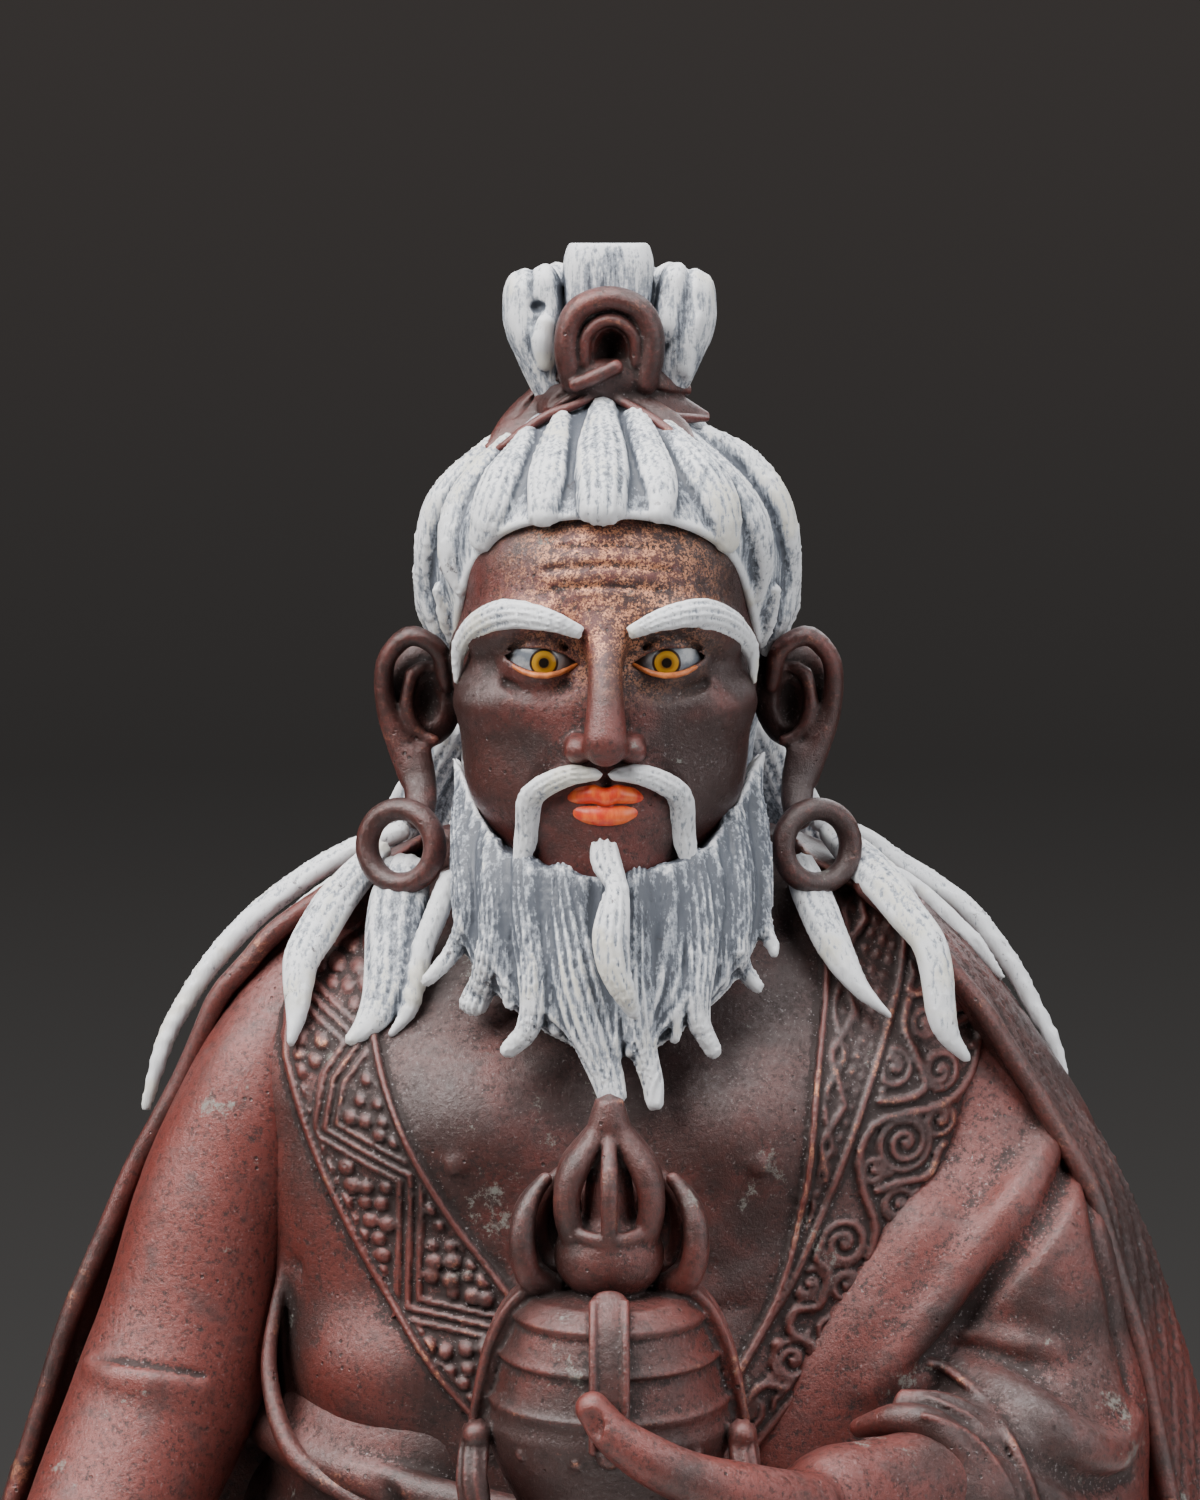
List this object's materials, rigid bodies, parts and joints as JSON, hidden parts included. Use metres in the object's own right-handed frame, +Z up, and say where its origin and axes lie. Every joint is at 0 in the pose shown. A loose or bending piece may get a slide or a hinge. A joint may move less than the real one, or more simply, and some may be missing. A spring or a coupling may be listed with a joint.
{
  "type": "figure of a seated hermit",
  "caption": "Seated bearded hermit cast in copper on a low oval base, hair in a topknot, ring earrings, brocade cloak, one hand on the knee and a long-life vase in the other",
  "frame": {"origin": "centre of the underside of the oval base", "axes": "+Z up, the figure faces -Y, its left hand is towards +X"},
  "size_m": [0.195, 0.132, 0.2224],
  "materials": {
    "aged_copper": "cast copper, oxidised reddish brown, worn bright on the ridges",
    "white_paint": "brushed matt white over blue grey, on hair, brows and beard",
    "lip_paint": "satin red lip paint",
    "eye_paint": "satin eye paint, white with an ochre iris"
  },
  "bodies": {
    "root": {"seated_figure": "aged_copper"}
  },
  "joints": []
}
